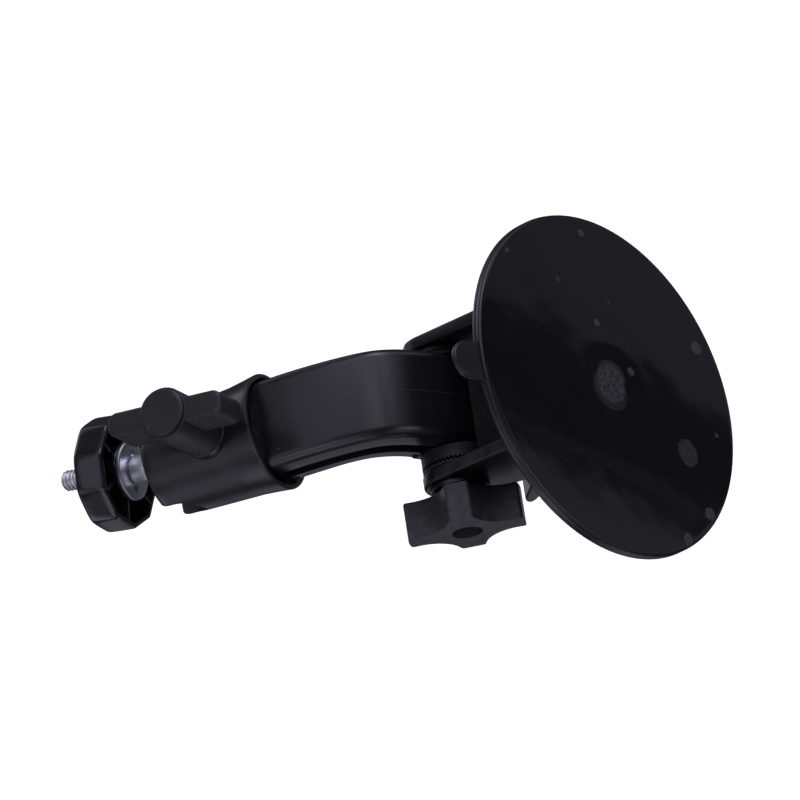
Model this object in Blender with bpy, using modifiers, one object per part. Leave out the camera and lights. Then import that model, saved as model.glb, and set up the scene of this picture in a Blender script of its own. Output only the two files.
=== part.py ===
# Suction-cup stand for a small in-car camera: cup, cam lock, hinged arm, ball head and lock wheel.
# The cup face looks up (+Z) with its centre at the origin, the arm bulges to +X, the hinge runs along Y.
import math

import bmesh
import bpy
from mathutils import Matrix, Vector

MM = 0.001

# --- suction cup and housing ---
CUP_R = 54.0
PAD_T = 3.4
TAB_REACH = 65.0
TAB_TURN = 2.0
TAB_HALF = 6.0
BOSS_R = 12.5
BOSS_Z = -9.5
GAP = 0.3
RING_R = 50.2
RING_T = 2.2
HOUSING_R = 43.0
HOUSING_Z = -13.9
STEM_R = 4.0

# --- ears and hinge of the arm ---
PIVOT_X = 31.8
PIVOT_Z = -36.0
EAR_OUT = 24.5
EAR_IN = 20.5
EAR_T = 4.0
LEFT_EAR_IN = 17.3
EAR_END_R = 10.6
EAR_FRONT = 40.6
EAR_BACK = 10.0
SADDLE_BACK = 13.0
SADDLE_FRONT = 38.0
SADDLE_Z = -21.8
BOLT_R = 3.0
KNUCKLE_R = 10.1
ARM_HALF = 14.0
ARM_EDGE = 3.2

# --- star knob ---
STAR_R = 17.6
STAR_SHORT = 12.9
STAR_TOP = 28.4
STAR_BOTTOM = 39.3
STAR_LOBES = 4
STAR_PHASE = 35.0
STAR_CUT_DIST = 20.5
STAR_CUT_R = 11.0
STAR_HOLE_R = 4.6

# --- cam lever ---
LEVER_X = 0.0
LEVER_Z = -22.9
LEVER_LEAN = 36.0
LEVER_LEN = 48.5
LEVER_HALF = 10.0
CAM_R = 7.5

# --- socket barrel ---
ARM_END = Vector((68.6, 0.0, -71.8))
BARREL_TILT = 15.0
BARREL_LEN = 38.6
BARREL_R = 16.1
MOUTH_R = 15.1
RIM_R = 18.0
BORE_R = 11.6
BALL_R = 7.5
BALL_S = 31.1
NOTCH_HALF = 6.6
NOTCH_DEPTH = 11.0
NOTCH_TURN = -4.0

# --- wing clamp knob ---
TEE_S = 15.4
TEE_HUB_R = 7.9
BOSS_SEAT_R = 7.7
TEE_BASE = 18.6
TEE_FACE = 41.2
WING_LEN = 38.4
WING_H = 7.6
WING_DEPTH = 13.0
WING_TURN = 5.5

# --- stud and lock wheel ---
STUD_DIR = Vector((0.272, -0.158, -0.949)).normalized()
SHANK_R = 4.35
THREAD_R = 3.15
THREAD_PITCH = 1.27
STUD_LEN = 42.0
WHEEL_BACK = 19.7
WHEEL_T = 9.6
WHEEL_R = 17.3
WHEEL_SIDES = 10
WHEEL_WALL = 1.5
RIBS = 6

OBJ = "suction_cup_camera_stand"

# ---------------------------------------------------------------- scene set-up
for old in list(bpy.data.objects):
    bpy.data.objects.remove(old, do_unlink=True)

scene = bpy.context.scene
parts = bpy.data.collections.new(OBJ)
scene.collection.children.link(parts)
cutters = bpy.data.collections.new(OBJ + "_cutters")
scene.collection.children.link(cutters)


def material(name, colour, rough, metal=0.0):
    mat = bpy.data.materials.new(name)
    mat.use_nodes = True
    shader = mat.node_tree.nodes["Principled BSDF"]
    shader.inputs["Base Color"].default_value = (colour[0], colour[1], colour[2], 1.0)
    shader.inputs["Roughness"].default_value = rough
    shader.inputs["Metallic"].default_value = metal
    mat.diffuse_color = (colour[0], colour[1], colour[2], 1.0)
    return mat


# ---------------------------------------------------------------- mesh helpers (lengths in mm)
def finish(bm, name, place, mat, smooth=True, cutter=False, pivot=None):
    """Turn a bmesh in mm into an object in metres, with its origin at pivot (mm) when given."""
    bmesh.ops.remove_doubles(bm, verts=bm.verts, dist=0.00001)
    bmesh.ops.recalc_face_normals(bm, faces=bm.faces)
    bmesh.ops.transform(bm, matrix=Matrix.Scale(MM, 4) @ place, verts=bm.verts)
    if bm.calc_volume(signed=True) < 0:
        bmesh.ops.reverse_faces(bm, faces=bm.faces)
    origin = Vector((0.0, 0.0, 0.0))
    if pivot is not None:
        origin = Vector(pivot) * MM
        bmesh.ops.translate(bm, vec=-origin, verts=bm.verts)
    mesh = bpy.data.meshes.new(name)
    bm.to_mesh(mesh)
    bm.free()
    obj = bpy.data.objects.new(name, mesh)
    obj.location = origin
    if smooth:
        mesh.polygons.foreach_set("use_smooth", [True] * len(mesh.polygons))
        mesh.set_sharp_from_angle(angle=math.radians(32.0))
    if cutter:
        cutters.objects.link(obj)
        obj.hide_render = True
        obj.display_type = 'WIRE'
    else:
        parts.objects.link(obj)
        mesh.materials.append(mat)
    return obj


def lathe(name, profile, segs, place, mat, **kw):
    """Closed (r, z) outline turned about local Z."""
    bm = bmesh.new()
    ring = [bm.verts.new((r, 0.0, z)) for r, z in profile]
    edges = []
    for i in range(len(ring)):
        a = ring[i]
        b = ring[(i + 1) % len(ring)]
        if profile[i][0] == 0.0 and profile[(i + 1) % len(ring)][0] == 0.0:
            continue
        edges.append(bm.edges.new((a, b)))
    bmesh.ops.spin(bm, geom=edges, cent=(0, 0, 0), axis=(0, 0, 1), dvec=(0, 0, 0),
                   angle=math.tau, steps=segs, use_merge=True)
    return finish(bm, name, place, mat, **kw)


def prism(name, outline, low, high, place, mat, edge=0.0, edge_segs=2, **kw):
    """Closed (x, y) outline pulled from z=low to z=high, its two rims rounded by edge."""
    bm = bmesh.new()
    face = bm.faces.new([bm.verts.new((x, y, low)) for x, y in outline])
    moved = bmesh.ops.extrude_face_region(bm, geom=[face])
    top = [g for g in moved["geom"] if isinstance(g, bmesh.types.BMVert)]
    bmesh.ops.translate(bm, vec=(0, 0, high - low), verts=top)
    if edge > 0.0:
        rims = [e for e in bm.edges if abs(e.verts[0].co.z - e.verts[1].co.z) < 1e-6]
        bmesh.ops.bevel(bm, geom=rims, offset=edge, segments=edge_segs, profile=0.5,
                        affect='EDGES', clamp_overlap=True)
    return finish(bm, name, place, mat, **kw)


def rod(name, radius, low, high, segs, place, mat, edge=0.0, **kw):
    outline = circle(radius, segs)
    return prism(name, outline, low, high, place, mat, edge=edge, edge_segs=1, **kw)


def circle(radius, segs, cx=0.0, cy=0.0, phase=0.0):
    pts = []
    for i in range(segs):
        a = math.tau * i / segs + phase
        pts.append((cx + radius * math.cos(a), cy + radius * math.sin(a)))
    return pts


def arc(radius, cx, cy, start, stop, steps):
    pts = []
    for i in range(steps + 1):
        a = math.radians(start + (stop - start) * i / steps)
        pts.append((cx + radius * math.cos(a), cy + radius * math.sin(a)))
    return pts


def rounded_rect(half_x, half_y, radius, steps):
    pts = []
    corners = ((1, 1, 0), (-1, 1, 90), (-1, -1, 180), (1, -1, 270))
    for sx, sy, start in corners:
        cx = sx * (half_x - radius)
        cy = sy * (half_y - radius)
        pts += arc(radius, cx, cy, start, start + 90, steps)
    return pts


def smooth_path(points, steps):
    """Catmull-Rom through the points."""
    out = []
    pts = [points[0]] + list(points) + [points[-1]]
    for i in range(1, len(pts) - 2):
        p0, p1, p2, p3 = (Vector(p) for p in pts[i - 1:i + 3])
        for k in range(steps):
            t = k / steps
            v = 0.5 * (2 * p1 + (p2 - p0) * t + (2 * p0 - 5 * p1 + 4 * p2 - p3) * t * t
                       + (3 * p1 - p0 - 3 * p2 + p3) * t ** 3)
            out.append((v[0], v[1]))
    out.append(tuple(points[-1]))
    return out


def frame(origin, z_dir, x_hint):
    """Placement with local Z along z_dir and local X near x_hint."""
    z = Vector(z_dir).normalized()
    x = Vector(x_hint) - Vector(x_hint).dot(z) * z
    x.normalize()
    y = z.cross(x)
    rot = Matrix((x, y, z)).transposed().to_4x4()
    return Matrix.Translation(Vector(origin)) @ rot


def cut(obj, tool, how='DIFFERENCE'):
    mod = obj.modifiers.new(how.lower(), 'BOOLEAN')
    mod.operation = how
    mod.solver = 'EXACT'
    mod.object = tool
    return mod


IDENT = Matrix.Identity(4)
# local (x, y) -> world (X, Z), local z -> world Y
SIDE = Matrix(((1, 0, 0, 0), (0, 0, 1, 0), (0, 1, 0, 0), (0, 0, 0, 1)))
HINGE = Matrix.Translation((PIVOT_X, 0, PIVOT_Z)) @ SIDE
PIVOT = (PIVOT_X, 0.0, PIVOT_Z)

tilt = math.radians(BARREL_TILT)
DOWN = Vector((math.sin(tilt), 0.0, -math.cos(tilt)))
OUT = Vector((math.cos(tilt), 0.0, math.sin(tilt)))
BARREL = frame(ARM_END, DOWN, OUT)
BALL_C = ARM_END + DOWN * BALL_S
STUD = frame(BALL_C, STUD_DIR, OUT)
TEE = frame(ARM_END + DOWN * TEE_S, OUT, DOWN)
LEVER_DIR = Vector((-math.sin(math.radians(LEVER_LEAN)), 0, -math.cos(math.radians(LEVER_LEAN))))

# ---------------------------------------------------------------- materials
m_pad = material("pad_black_pvc", (0.008, 0.008, 0.010), 0.12)
m_ring = material("ring_black_abs", (0.012, 0.012, 0.013), 0.45)
m_housing = material("housing_black_abs", (0.014, 0.014, 0.015), 0.42)
m_arm = material("arm_black_abs", (0.013, 0.013, 0.014), 0.30)
m_star = material("star_black_abs", (0.013, 0.013, 0.014), 0.36)
m_lever = material("lever_black_abs", (0.013, 0.013, 0.014), 0.40)
m_barrel = material("barrel_black_abs", (0.014, 0.014, 0.015), 0.36)
m_tee = material("tee_black_nylon", (0.017, 0.017, 0.018), 0.5)
m_cap = material("cap_black_nylon", (0.016, 0.016, 0.017), 0.5)
m_wheel = material("wheel_black_abs", (0.013, 0.013, 0.014), 0.28)
m_rubber = material("black_rubber", (0.015, 0.015, 0.015), 0.8)
m_liner = material("liner_black_nylon", (0.016, 0.016, 0.017), 0.5)
m_pom = material("natural_acetal", (0.55, 0.55, 0.52), 0.4)
m_zinc = material("zinc_steel", (0.62, 0.63, 0.65), 0.28, 1.0)
m_steel = material("plain_steel", (0.45, 0.45, 0.46), 0.35, 1.0)
m_spring = material("spring_steel", (0.50, 0.50, 0.50), 0.32, 1.0)

# ---------------------------------------------------------------- suction cup
pad = lathe("suction_pad", [
    (0, 0), (CUP_R - 0.7, 0), (CUP_R, -0.7), (CUP_R, -PAD_T + 0.6), (CUP_R - 0.6, -PAD_T),
    (BOSS_R, -PAD_T), (BOSS_R, BOSS_Z), (4.7, BOSS_Z), (4.7, -6.5), (9.0, -6.5), (9.0, -3.0),
    (0, -3.0)], 64, IDENT, m_pad)
tab_outline = [(CUP_R - 6, -TAB_HALF), (TAB_REACH - TAB_HALF, -TAB_HALF)]
tab_outline += arc(TAB_HALF, TAB_REACH - TAB_HALF, 0, -75, 75, 10)
tab_outline += [(TAB_REACH - TAB_HALF, TAB_HALF), (CUP_R - 6, TAB_HALF)]
tab_place = Matrix.Rotation(math.radians(TAB_TURN), 4, 'Z')
tab = prism("tab_tool", tab_outline, -PAD_T + 0.5, -0.9, tab_place, None, edge=0.5, edge_segs=1, cutter=True)
cut(pad, tab, 'UNION')

lathe("cup_ring", [
    (44.9, -PAD_T - GAP), (RING_R - 0.4, -PAD_T - GAP), (RING_R, -PAD_T - GAP - 0.4),
    (RING_R, -PAD_T - GAP - RING_T + 0.6), (RING_R - 0.6, -PAD_T - GAP - RING_T),
    (44.9, -PAD_T - GAP - RING_T)], 56, IDENT, m_ring)

housing = lathe("housing_bracket", [
    (20.5, -PAD_T - GAP), (44.6, -PAD_T - GAP), (44.6, -6.5), (HOUSING_R, -8.0),
    (HOUSING_R - 0.5, -11.4), (HOUSING_R - 2.0, -13.0), (HOUSING_R - 11.0, HOUSING_Z),
    (4.6, HOUSING_Z), (4.6, -9.8), (20.5, -9.8)], 56, IDENT, m_housing)

back = Vector((EAR_BACK - PIVOT_X, -6.6 - PIVOT_Z))
touch = math.degrees(math.atan2(back.y, back.x) + math.acos(EAR_END_R / back.length)) - 360.0
ear_outline = [(EAR_FRONT - PIVOT_X, -6.6 - PIVOT_Z)]
ear_outline += arc(EAR_END_R, 0, 0, 0, touch, 20)
ear_outline += [tuple(back)]
for low, high, label in ((EAR_IN, EAR_OUT, "right"), (-LEFT_EAR_IN - EAR_T, -LEFT_EAR_IN, "left")):
    ear = prism("ear_tool_" + label, ear_outline, low, high, HINGE, None, edge=0.7, edge_segs=2,
                cutter=True)
    cut(housing, ear, 'UNION')
saddle = rounded_rect((SADDLE_FRONT - SADDLE_BACK) / 2, (EAR_IN + LEFT_EAR_IN + 2) / 2, 1.0, 2)
place = Matrix.Translation(((SADDLE_FRONT + SADDLE_BACK) / 2, (EAR_IN - LEFT_EAR_IN) / 2, 0))
cut(housing, prism("saddle_tool", saddle, SADDLE_Z, -11.0, place, None, edge=0.8, cutter=True), 'UNION')
bore = rod("ear_bore", BOLT_R + 0.3, -30, 30, 24, HINGE, None, cutter=True)
cut(housing, bore)
pocket = prism("head_pocket", circle(5.1, 6), -26, -LEFT_EAR_IN - 1.8, HINGE, None, cutter=True)
cut(housing, pocket)

lathe("wear_plate", [(4.6, HOUSING_Z - 0.3), (11.0, HOUSING_Z - 0.3), (11.0, HOUSING_Z - 1.7),
                     (4.6, HOUSING_Z - 1.7)], 36, IDENT, m_pom)

# ---------------------------------------------------------------- plunger, spring, lever
PIN = Matrix.Translation((LEVER_X, 0, LEVER_Z)) @ SIDE
plunger = lathe("plunger", [
    (0, -3.4), (8.0, -3.4), (8.3, -3.7), (8.3, -4.6), (8.0, -4.9), (STEM_R, -4.9),
    (STEM_R, LEVER_Z - 3.2), (STEM_R - 0.8, LEVER_Z - 4.0), (0, LEVER_Z - 4.0)], 32, IDENT, m_steel)
cut(plunger, rod("plunger_cross_bore", 1.8, -8, 8, 16, PIN, None, cutter=True))
rod("lever_pin", 1.5, -10.4, 10.4, 16, PIN, m_steel, edge=0.3)

turns = 2.5
coil = bpy.data.curves.new("coil_path", 'CURVE')
coil.dimensions = '3D'
coil.bevel_depth = 0.7 * MM
coil.bevel_resolution = 1
coil.use_fill_caps = True
line = coil.splines.new('POLY')
count = int(turns * 20) + 1
line.points.add(count - 1)
for i in range(count):
    a = math.tau * turns * i / (count - 1)
    z = -5.0 - 3.7 * i / (count - 1)
    line.points[i].co = (16.6 * math.cos(a) * MM, 16.6 * math.sin(a) * MM, z * MM, 1.0)
coil_obj = bpy.data.objects.new("coil_curve", coil)
scene.collection.objects.link(coil_obj)
bpy.context.view_layer.update()
mesh = bpy.data.meshes.new_from_object(coil_obj.evaluated_get(bpy.context.evaluated_depsgraph_get()))
bm = bmesh.new()
bm.from_mesh(mesh)
bpy.data.objects.remove(coil_obj, do_unlink=True)
bmesh.ops.scale(bm, vec=(1 / MM, 1 / MM, 1 / MM), verts=bm.verts)
finish(bm, "cup_spring", IDENT, m_spring)

ex = 1.32
cam_x = ex * math.cos(math.radians(207))
cam_y = ex * math.sin(math.radians(207))
lean = Vector((-math.sin(math.radians(LEVER_LEAN)), -math.cos(math.radians(LEVER_LEAN))))
across = Vector((lean.y, -lean.x))
lever_outline = []
base_angle = math.degrees(math.atan2(lean.y, lean.x))
lever_outline += arc(CAM_R, cam_x, cam_y, base_angle + 50, base_angle + 310, 26)
for along, off in ((16.0, -2.9), (LEVER_LEN - 3.0, -2.2), (LEVER_LEN, -1.0), (LEVER_LEN, 1.0),
                   (LEVER_LEN - 3.0, 2.0), (16.0, 2.4)):
    lever_outline.append(tuple(lean * along - across * off))
lever = prism("cam_lever", lever_outline, -LEVER_HALF, LEVER_HALF, PIN, m_lever, edge=0.8,
              edge_segs=2, pivot=(LEVER_X, 0, LEVER_Z))
cut(lever, rod("lever_slot", 12.0, -4.6, 4.6, 36, PIN, None, cutter=True))
cut(lever, rod("lever_bore", 1.8, -14, 14, 16, PIN, None, cutter=True))

# ---------------------------------------------------------------- hinge rings and bolt


def tooth_ring(name, outer, inner, plain, toothed, height, teeth, mat, **kw):
    """Flat ring about the hinge whose face at local z = toothed carries radial teeth."""
    bm = bmesh.new()
    ring = [bm.verts.new(p) for p in ((inner, 0, plain), (outer, 0, plain), (outer, 0, toothed),
                                      (inner, 0, toothed))]
    edges = [bm.edges.new((ring[i], ring[(i + 1) % 4])) for i in range(4)]
    bmesh.ops.spin(bm, geom=edges, cent=(0, 0, 0), axis=(0, 0, 1), dvec=(0, 0, 0),
                   angle=math.tau, steps=teeth * 2, use_merge=True)
    bmesh.ops.remove_doubles(bm, verts=bm.verts, dist=0.00001)
    step = math.pi / teeth
    for v in bm.verts:
        if abs(v.co.z - toothed) > 1e-5:
            continue
        if round(math.atan2(v.co.y, v.co.x) / step) % 2:
            v.co.z += height
    return finish(bm, name, HINGE, mat, smooth=False, **kw)


tooth_ring("arm_tooth_ring", 10.3, 3.5, ARM_HALF + 0.3, 18.15, 0.65, 48, m_housing, pivot=PIVOT)
tooth_ring("ear_tooth_ring", 10.3, 3.5, EAR_IN - 0.3, 19.05, 0.65, 48, m_housing)
rod_ring = [(3.5, -15.6), (9.6, -15.6), (9.6, -ARM_HALF - 0.3), (3.5, -ARM_HALF - 0.3)]
lathe("friction_washer", rod_ring, 36, HINGE, m_rubber, pivot=PIVOT)
rod_ring = [(3.5, -LEFT_EAR_IN + 0.3), (9.6, -LEFT_EAR_IN + 0.3), (9.6, -15.9), (3.5, -15.9)]
lathe("spacer_washer", rod_ring, 36, HINGE, m_liner)

bolt = prism("pivot_bolt", circle(4.6, 6), -22.4, -LEFT_EAR_IN - 2.1, HINGE, m_zinc, edge=0.4, edge_segs=1)
cut(bolt, rod("bolt_shank", BOLT_R - 0.15, -20.6, 35.4, 24, HINGE, None, edge=0.4, cutter=True), 'UNION')

lathe("pivot_washer", [(3.3, EAR_OUT + 0.3), (8.8, EAR_OUT + 0.3), (8.8, EAR_OUT + 1.5),
                       (3.3, EAR_OUT + 1.5)], 36, HINGE, m_zinc, pivot=PIVOT)

star = rod("star_knob", STAR_R, STAR_TOP, STAR_BOTTOM, 60, HINGE, m_star, pivot=PIVOT)
for i in range(2):
    turned = HINGE @ Matrix.Rotation(math.radians(STAR_PHASE + 180.0 * i), 4, 'Z')
    outline = [(STAR_SHORT, -9.0), (STAR_R + 4.0, -9.0), (STAR_R + 4.0, 9.0), (STAR_SHORT, 9.0)]
    cut(star, prism("star_end_%d" % i, outline, STAR_TOP - 5, STAR_BOTTOM + 5, turned, None, cutter=True))
for i in range(STAR_LOBES):
    a = math.radians(STAR_PHASE + 360.0 / STAR_LOBES * (i + 0.5))
    outline = circle(STAR_CUT_R, 32, STAR_CUT_DIST * math.cos(a), STAR_CUT_DIST * math.sin(a))
    tool = prism("star_valley_%d" % i, outline, STAR_TOP - 5, STAR_BOTTOM + 5, HINGE, None, cutter=True)
    cut(star, tool)
rim = star.modifiers.new("rim", 'BEVEL')
rim.width = 0.7 * MM
rim.segments = 2
rim.limit_method = 'ANGLE'
rim.angle_limit = math.radians(50)
collar = rod("star_collar", 7.6, EAR_OUT + 1.8, STAR_TOP + 1.0, 36, HINGE, None, cutter=True)
cut(star, collar, 'UNION')
cut(star, rod("star_hole", STAR_HOLE_R, 34.4, 45, 32, HINGE, None, cutter=True))
cut(star, prism("star_nut_pocket", circle(6.1, 6), 29.9, 34.7, HINGE, None, cutter=True))
cut(star, rod("star_bore", 3.3, 20, 31, 24, HINGE, None, cutter=True))
nut = prism("pivot_nut", circle(5.7, 6), 30.2, 34.4, HINGE, m_zinc, edge=0.3, edge_segs=1, pivot=PIVOT)
cut(nut, rod("nut_bore", 3.15, 28, 37, 24, HINGE, None, cutter=True))

# ---------------------------------------------------------------- arm
outer = [(PIVOT_X, PIVOT_Z + KNUCKLE_R), (40, -26.6), (48, -28.2), (56, -30.8), (63, -35.8), (69, -45.5), (74.2, -58),
         (77.6, -69.4)]
inner = [(PIVOT_X, PIVOT_Z - KNUCKLE_R), (37, -46.7), (41.6, -47.5), (46.4, -49.7), (50.5, -53.2),
         (53.7, -58.7), (56.3, -65.9), (59.0, -74.2)]
outer_path = smooth_path(outer, 4)
inner_path = smooth_path(inner, 4)
sink = Vector((DOWN.x, DOWN.z)) * 3.2
outline = arc(KNUCKLE_R, PIVOT_X, PIVOT_Z, 90, 270, 16)[:-1] + inner_path
outline += [tuple(Vector(inner_path[-1]) + sink), tuple(Vector(outer_path[-1]) + sink)]
outline += list(reversed(outer_path))[:-1]
arm = prism("arm", outline, -ARM_HALF, ARM_HALF, SIDE, m_arm, edge=ARM_EDGE, edge_segs=3, pivot=PIVOT)


def band(low_share, high_share, first, last):
    """Strip of the arm's side between two shares of its thickness."""
    pairs = list(zip(outer_path, inner_path))[first:last]
    near = [tuple(Vector(a).lerp(Vector(b), low_share)) for a, b in pairs]
    far = [tuple(Vector(a).lerp(Vector(b), high_share)) for a, b in pairs]
    return near + list(reversed(far))


for side, label in ((1, "right"), (-1, "left")):
    last = len(outer_path) - 1
    for share, start, stop, depth in (("groove", 0.40, 0.66, 2.6), ("step", 0.72, 1.25, 1.2)):
        low, high = sorted((side * (ARM_HALF - depth), side * (ARM_HALF + 3)))
        tool = prism("arm_%s_%s" % (share, label), band(start, stop, 6, last), low, high, SIDE, None,
                     cutter=True)
        cut(arm, tool)
cut(arm, rod("arm_spigot", 9.0, 2.0, 10.4, 36, BARREL, None, edge=0.5, cutter=True), 'UNION')
cut(arm, rod("arm_bore", BOLT_R + 0.3, -20, 20, 24, HINGE, None, cutter=True))

# ---------------------------------------------------------------- barrel
barrel = lathe("socket_barrel", [
    (16.4, 0), (17.5, 0), (RIM_R - 0.1, 0.4), (17.6, 2.5), (17.25, 5.0), (16.7, 9.5),
    (BARREL_R, 20.0), (MOUTH_R, 36.2), (MOUTH_R - 0.4, 37.8), (MOUTH_R - 1.2, BARREL_LEN), (9.6, BARREL_LEN),
    (9.6, 34.4), (BORE_R, 34.4), (BORE_R, 11.0), (9.3, 11.0), (9.3, 3.8), (16.4, 3.8)],
    44, BARREL, m_barrel)
cut(barrel, rod("barrel_boss", BOSS_SEAT_R, 11.9, 18.2, 36, TEE, None, edge=0.4, cutter=True), 'UNION')
cut(barrel, rod("barrel_screw_bore", 3.3, 5.0, 22.0, 24, TEE, None, cutter=True))
turn = math.radians(NOTCH_TURN)
notch_dir = Vector((0, 1, 0)) * math.cos(turn) + OUT * math.sin(turn)
notch_frame = frame(ARM_END + DOWN * BARREL_LEN, notch_dir, DOWN)
notch = rounded_rect(NOTCH_DEPTH, NOTCH_HALF, NOTCH_HALF - 0.01, 10)
cut(barrel, prism("barrel_notch", notch, 6.0, 24.0, notch_frame, None, cutter=True))


def ball_arc(radius, start_s, stop_s, steps):
    """Points of a sphere about the ball centre between two depths along the barrel."""
    a0 = math.acos((start_s - BALL_S) / radius)
    a1 = math.acos((stop_s - BALL_S) / radius)
    pts = []
    for i in range(steps + 1):
        a = a0 + (a1 - a0) * i / steps
        pts.append((radius * math.sin(a), BALL_S + radius * math.cos(a)))
    return pts


SEAT_R = BALL_R + 0.3
liner = [(11.2, 34.1), (11.2, 25.0)] + ball_arc(SEAT_R, 25.0, 34.1, 8)
lathe("ball_liner", liner, 32, BARREL, m_liner, pivot=BALL_C)
block = [(11.2, 24.7), (11.2, 20.8), (0, 20.8)]
block += [(0, BALL_S - SEAT_R)] + ball_arc(SEAT_R, BALL_S - SEAT_R + 0.05, 24.7, 5)
lathe("seat_block", block, 32, BARREL, m_pom)
lathe("pressure_shoe", [(0, 2.0), (3.4, 2.0), (3.7, 1.7), (3.7, -1.0), (2.2, -8.0), (0, -8.0)], 24, TEE,
      m_steel)

# ---------------------------------------------------------------- wing clamp knob
rod("clamp_screw", 2.95, 2.4, 32.6, 24, TEE, m_zinc, edge=0.4)
tee = rod("wing_knob", TEE_HUB_R, TEE_BASE, TEE_FACE - 0.9, 48, TEE, m_tee, edge=0.6)
spin = Matrix.Rotation(math.radians(-WING_TURN), 4, 'Z')
wing = prism("wing_tool", rounded_rect(WING_LEN / 2, WING_H / 2, 3.0, 5), TEE_FACE - 1.2 - WING_DEPTH,
             TEE_FACE - 1.2, TEE @ spin, None, edge=0.8, edge_segs=2, cutter=True)
cut(tee, wing, 'UNION')
cut(tee, rod("wing_bore", 3.25, 15.0, 33.0, 24, TEE, None, cutter=True))
cut(tee, rod("wing_cap_socket", 3.3, 36.0, 45.0, 24, TEE, None, cutter=True))
lathe("wing_cap", [(0, 36.4), (3.0, 36.4), (3.0, TEE_FACE - 0.6), (7.0, TEE_FACE - 0.6),
                   (7.3, TEE_FACE - 0.3), (7.3, TEE_FACE), (6.8, TEE_FACE + 0.4), (0, TEE_FACE + 0.4)],
      48, TEE, m_cap)

# ---------------------------------------------------------------- ball, stud, flange
mouth = math.asin(4.65 / BALL_R)
ball = [(4.65, -2.0), (0, -2.0), (0, -BALL_R)]
for i in range(1, 14):
    a = math.pi - (math.pi - mouth) * i / 13
    ball.append((BALL_R * math.sin(a), BALL_R * math.cos(a)))
lathe("ball", ball, 32, STUD, m_zinc, pivot=BALL_C)

stud = [(0, -1.7), (4.0, -1.7), (SHANK_R, -1.3), (SHANK_R, 17.2), (SHANK_R - 0.5, 17.7), (2.95, 17.7)]
z = WHEEL_BACK + WHEEL_T - 1.0
stud.append((2.55, z))
while z + THREAD_PITCH < STUD_LEN - 0.7:
    stud += [(THREAD_R, z + 0.55), (THREAD_R, z + 0.75), (2.5, z + 1.15), (2.5, z + THREAD_PITCH)]
    z += THREAD_PITCH
stud += [(2.5, STUD_LEN), (0, STUD_LEN)]
lathe("ball_stud", stud, 20, STUD, m_zinc, pivot=BALL_C)
flange = lathe("stud_flange", [(3.4, 18.0), (8.6, 18.0), (9.0, 18.3), (9.0, 19.4), (3.4, 19.4)], 48, STUD,
               m_zinc, pivot=BALL_C)

# ---------------------------------------------------------------- lock wheel
LOWER = Vector((-0.157, 0.918, -0.344))
WHEEL = frame(BALL_C, STUD_DIR, LOWER)
front = WHEEL_BACK + WHEEL_T
wheel = prism("lock_wheel", circle(WHEEL_R, WHEEL_SIDES), WHEEL_BACK, front, WHEEL, m_wheel, edge=0.6,
              edge_segs=2, pivot=BALL_C)
cut(wheel, prism("wheel_hollow", circle(WHEEL_R - WHEEL_WALL, WHEEL_SIDES), WHEEL_BACK - 1, front - 2,
                 WHEEL, None, cutter=True))
cut(wheel, rod("wheel_hub", 8.2, WHEEL_BACK + 0.3, front - 1, 36, WHEEL, None, cutter=True), 'UNION')
for i in range(RIBS // 2):
    angle = math.radians(7.0 + 180.0 * i / (RIBS // 2))
    bar = rounded_rect(WHEEL_R - WHEEL_WALL + 0.5, 0.5, 0.05, 1)
    tool = prism("wheel_rib_%d" % i, bar, WHEEL_BACK + 0.9 + 0.05 * i, front - 1.05 - 0.05 * i,
                 WHEEL @ Matrix.Rotation(angle, 4, 'Z'), None, cutter=True)
    cut(wheel, tool, 'UNION')
cut(wheel, prism("wheel_nut_pocket", circle(6.4, 6), WHEEL_BACK - 2, 25.9, WHEEL, None, cutter=True))
cut(wheel, rod("wheel_bore", 3.6, 22, 40, 24, WHEEL, None, cutter=True))
nut = prism("wheel_nut", circle(6.0, 6), 20.2, 25.5, WHEEL, m_zinc, edge=0.3, edge_segs=1, pivot=BALL_C)
cut(nut, rod("wheel_nut_bore", 3.45, 18, 28, 24, WHEEL, None, cutter=True))
lathe("front_pad", [(5.5, front + 0.3), (13.2, front + 0.3), (13.2, front + 1.3), (12.8, front + 1.7),
                    (5.5, front + 1.7)], 48, STUD, m_rubber, pivot=BALL_C)
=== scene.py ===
import math

import bmesh
import bpy
from mathutils import Matrix, Vector, noise


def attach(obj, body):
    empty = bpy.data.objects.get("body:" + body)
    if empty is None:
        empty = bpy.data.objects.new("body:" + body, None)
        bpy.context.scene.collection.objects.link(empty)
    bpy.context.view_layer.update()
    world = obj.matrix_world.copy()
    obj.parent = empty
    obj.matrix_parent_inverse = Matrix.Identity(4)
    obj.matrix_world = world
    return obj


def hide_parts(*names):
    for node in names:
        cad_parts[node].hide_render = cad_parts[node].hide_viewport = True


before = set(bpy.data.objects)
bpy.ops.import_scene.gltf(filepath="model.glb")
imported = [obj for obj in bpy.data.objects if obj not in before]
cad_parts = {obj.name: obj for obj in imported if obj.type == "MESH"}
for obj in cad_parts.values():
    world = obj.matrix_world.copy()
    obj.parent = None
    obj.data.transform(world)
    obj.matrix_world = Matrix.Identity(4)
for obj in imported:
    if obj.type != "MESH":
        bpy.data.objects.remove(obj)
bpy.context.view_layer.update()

MM = 0.001

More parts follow.
